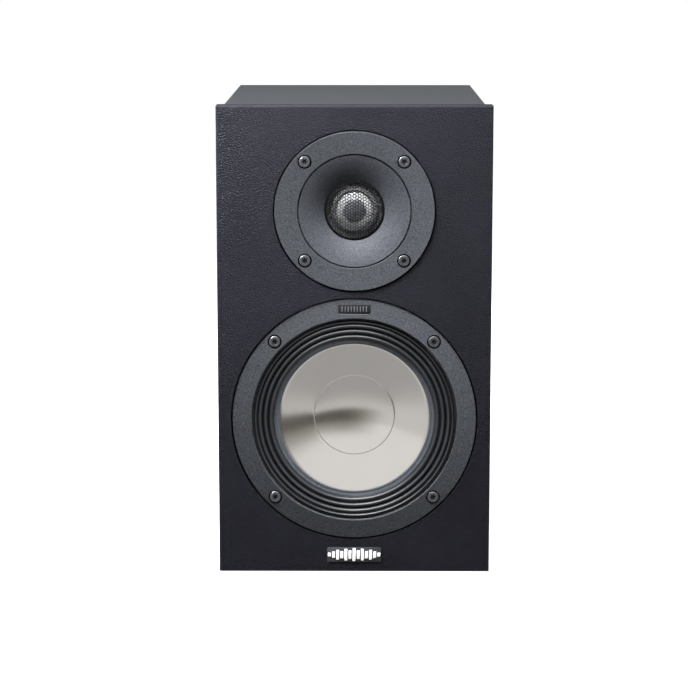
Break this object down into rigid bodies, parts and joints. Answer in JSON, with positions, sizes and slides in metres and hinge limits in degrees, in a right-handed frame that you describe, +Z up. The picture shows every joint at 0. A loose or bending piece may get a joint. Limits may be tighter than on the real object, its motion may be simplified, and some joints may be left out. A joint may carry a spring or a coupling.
{
  "type": "bookshelf speaker",
  "caption": "Two-way vented bookshelf speaker with a horn-loaded dome tweeter, a metal-cone woofer and a recessed rear terminal tray with screw posts.",
  "frame": {"origin": "centre of the bounding box at the bottom face that the speaker stands on", "axes": "+Z up, the baffle faces -Y, +X to the right as seen from the front"},
  "size_m": [0.19, 0.272, 0.328],
  "materials": {
    "baffle_lacquer": "fine textured charcoal lacquer",
    "body_wrap": "charcoal wrap, satin",
    "rear_board": "black board, matte",
    "wadding": "polyester wadding",
    "black_plastic": "moulded, fine texture",
    "ring_grey": "grey, fine grained",
    "mesh_black": "black coated",
    "dome_metal": "anodised",
    "dome_cloth": "coated cloth",
    "former_metal": "foil",
    "copper": "enamelled copper wire",
    "motor_steel": "zinc plated",
    "ferrite": "sintered, dull",
    "gold": "gold plated",
    "gasket_foam": "closed-cell foam",
    "screw_black": "black oxide",
    "basket_cast": "cast, black painted",
    "surround_rubber": "glossy",
    "cone_metal": "satin, warm light grey",
    "spider_cloth": "resin-dipped cloth",
    "phenolic": "paper phenolic",
    "tinsel": "braided tinsel",
    "plaque_black": "satin black",
    "badge_dark": "black anodised",
    "badge_silver": "polished",
    "nut_steel": "nickel plated",
    "post_red": "red, glossy",
    "post_black": "black, glossy",
    "circuit_board": "solder mask",
    "capacitor_film": "yellow film",
    "ceramic": "white ceramic",
    "wire_sheath": "PVC"
  },
  "bodies": {
    "cabinet": {"front_baffle": "baffle_lacquer", "side_panel_left": "body_wrap", "side_panel_right": "body_wrap", "top_panel": "body_wrap", "bottom_panel": "body_wrap", "rear_panel": "rear_board", "damping_pad_upper": "wadding", "damping_pad_lower": "wadding", "port_tube": "black_plastic", "tweeter_flange": "ring_grey", "tweeter_horn": "ring_grey", "tweeter_mesh": "mesh_black", "tweeter_phase_disc": "black_plastic", "tweeter_top_plate": "motor_steel", "tweeter_magnet": "ferrite", "tweeter_yoke": "motor_steel", "tweeter_terminals": "gold", "tweeter_gasket": "gasket_foam", "tweeter_screws": "screw_black", "woofer_bezel": "ring_grey", "woofer_plaque": "plaque_black", "woofer_gasket": "gasket_foam", "woofer_basket": "basket_cast", "woofer_top_plate": "motor_steel", "woofer_magnet": "ferrite", "woofer_yoke": "motor_steel", "woofer_terminal_strip": "phenolic", "woofer_screws": "screw_black", "badge_plate": "badge_dark", "badge_bars": "badge_silver", "terminal_tray": "black_plastic", "terminal_gasket": "gasket_foam", "terminal_screws": "screw_black", "post_studs": "gold", "post_nuts": "nut_steel", "post_collar_red": "post_red", "post_collar_black": "post_black", "crossover_board": "circuit_board", "crossover_fixings": "nut_steel", "crossover_inductors": "copper", "crossover_capacitors": "capacitor_film", "crossover_resistors": "ceramic", "internal_wires": "wire_sheath"},
    "woofer_moving_parts": {"woofer_cone": "cone_metal", "woofer_dust_cap": "cone_metal", "woofer_former": "former_metal", "woofer_voice_coil": "copper", "woofer_spider": "spider_cloth", "woofer_surround": "surround_rubber", "woofer_tinsel_leads": "tinsel"},
    "tweeter_moving_parts": {"tweeter_dome": "dome_metal", "tweeter_dome_surround": "dome_cloth", "tweeter_former": "former_metal", "tweeter_voice_coil": "copper"},
    "clamp_washer_red": {"post_washer_red": "gold"},
    "clamp_washer_black": {"post_washer_black": "gold"},
    "post_knob_red": {"knob_core_red": "gold", "knob_shell_red": "post_red"},
    "post_knob_black": {"knob_core_black": "gold", "knob_shell_black": "post_black"}
  },
  "joints": [
    {"name": "woofer_excursion", "type": "slide", "parent": "cabinet", "child": "woofer_moving_parts", "axis": [0, -1, 0], "range_m": [-0.005, 0.005], "stiffness_N_per_m": 1500, "deforming": ["woofer_surround", "woofer_spider", "woofer_tinsel_leads"]},
    {"name": "tweeter_excursion", "type": "slide", "parent": "cabinet", "child": "tweeter_moving_parts", "axis": [0, -1, 0], "range_m": [-0.0003, 0.0003], "stiffness_N_per_m": 100, "deforming": ["tweeter_dome_surround"]},
    {"name": "clamp_washer_red_slide", "type": "slide", "parent": "cabinet", "child": "clamp_washer_red", "axis": [0, 1, 0], "range_m": [0, 0.006]},
    {"name": "post_knob_red_turn", "type": "hinge", "parent": "clamp_washer_red", "child": "post_knob_red", "pos_m": [-0.017, 0.123, 0.08], "axis": [0, 1, 0], "range_deg": [0, 2160]},
    {"name": "clamp_washer_black_slide", "type": "slide", "parent": "cabinet", "child": "clamp_washer_black", "axis": [0, 1, 0], "range_m": [0, 0.006]},
    {"name": "post_knob_black_turn", "type": "hinge", "parent": "clamp_washer_black", "child": "post_knob_black", "pos_m": [0.017, 0.123, 0.08], "axis": [0, 1, 0], "range_deg": [0, 2160]}
  ],
  "couplings": [
    {"joint": "post_knob_red_turn", "follows": "clamp_washer_red_slide", "rad_per_m": 6283.2},
    {"joint": "post_knob_black_turn", "follows": "clamp_washer_black_slide", "rad_per_m": 6283.2}
  ]
}
